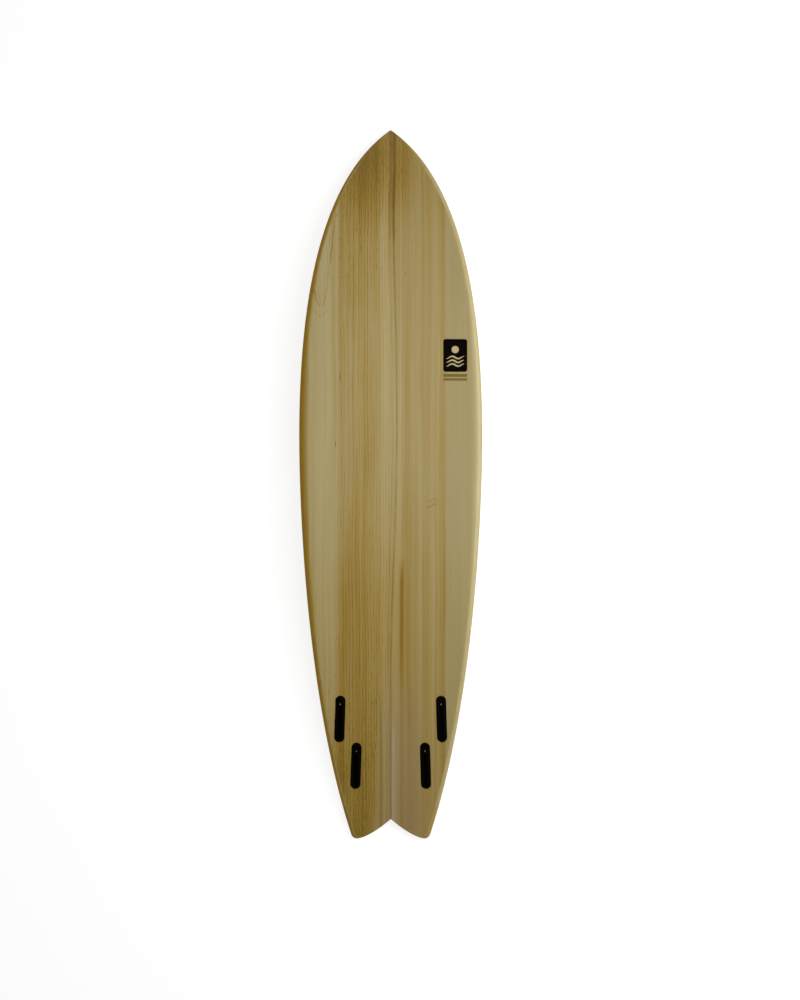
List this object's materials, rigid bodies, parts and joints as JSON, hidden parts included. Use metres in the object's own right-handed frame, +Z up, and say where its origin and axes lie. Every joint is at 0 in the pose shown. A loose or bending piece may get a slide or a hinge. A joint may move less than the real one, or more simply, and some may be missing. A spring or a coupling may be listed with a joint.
{
  "type": "swallow-tail quad-fin surfboard",
  "caption": "Swallow-tail surfboard with wood skins over a foam core, bent-wood rails, slotted fin boxes with screws, a leash plug and a vent.",
  "frame": {"origin": "under the middle of the board's outline, on the surface that the board lies on, deck down", "axes": "+X to the right seen with the bottom up and the nose away, +Y towards the nose, +Z up, out of the board's bottom"},
  "size_m": [0.535, 2.083, 0.1019],
  "materials": {
    "foam": "fine beads",
    "bottom_wood": "lengthwise grain, satin",
    "deck_wood": "lengthwise grain, satin",
    "rail_inner_wood": "bare wood",
    "rail_outer_wood": "lengthwise grain, satin",
    "block_wood": "lengthwise grain, satin",
    "dense_foam": "fine closed cells",
    "box_plastic": "fine moulded texture",
    "steel": "turned",
    "membrane": "felt-like",
    "seal_rubber": "smooth rubber",
    "cap_plastic": "fine moulded texture",
    "badge_black": "printed film under the clear coat"
  },
  "bodies": {
    "board": {"foam_core": "foam", "bottom_skin_left": "bottom_wood", "bottom_skin_right": "bottom_wood", "deck_skin_left": "deck_wood", "deck_skin_right": "deck_wood", "rail_inner_left": "rail_inner_wood", "rail_inner_right": "rail_inner_wood", "rail_middle_left": "rail_inner_wood", "rail_middle_right": "rail_inner_wood", "rail_outer_left": "rail_outer_wood", "rail_outer_right": "rail_outer_wood", "nose_block": "block_wood", "tail_block_left": "block_wood", "tail_block_right": "block_wood", "fin_insert_front_left": "dense_foam", "fin_insert_front_right": "dense_foam", "fin_insert_rear_left": "dense_foam", "fin_insert_rear_right": "dense_foam", "fin_box_front_left": "box_plastic", "fin_box_front_right": "box_plastic", "fin_box_rear_left": "box_plastic", "fin_box_rear_right": "box_plastic", "leash_insert": "dense_foam", "leash_cup": "box_plastic", "leash_bar": "steel", "vent_body": "box_plastic", "vent_membrane": "membrane", "vent_seal": "seal_rubber", "vent_cap": "cap_plastic", "badge_panel": "badge_black", "badge_bars": "badge_black"},
    "screw_front_left": {"fin_screw_front_left": "steel"},
    "screw_rear_left": {"fin_screw_rear_left": "steel"},
    "screw_front_right": {"fin_screw_front_right": "steel"},
    "screw_rear_right": {"fin_screw_rear_right": "steel"}
  },
  "joints": [
    {"name": "screw_front_left_travel", "type": "slide", "parent": "board", "child": "screw_front_left", "axis": [0.0166, 0.4423, 0.8967], "range_m": [-0.004, 0.008]},
    {"name": "screw_rear_left_travel", "type": "slide", "parent": "board", "child": "screw_rear_left", "axis": [0.0166, 0.4264, 0.9044], "range_m": [-0.004, 0.008]},
    {"name": "screw_front_right_travel", "type": "slide", "parent": "board", "child": "screw_front_right", "axis": [-0.0166, 0.4423, 0.8967], "range_m": [-0.004, 0.008]},
    {"name": "screw_rear_right_travel", "type": "slide", "parent": "board", "child": "screw_rear_right", "axis": [-0.0166, 0.4264, 0.9044], "range_m": [-0.004, 0.008]}
  ]
}
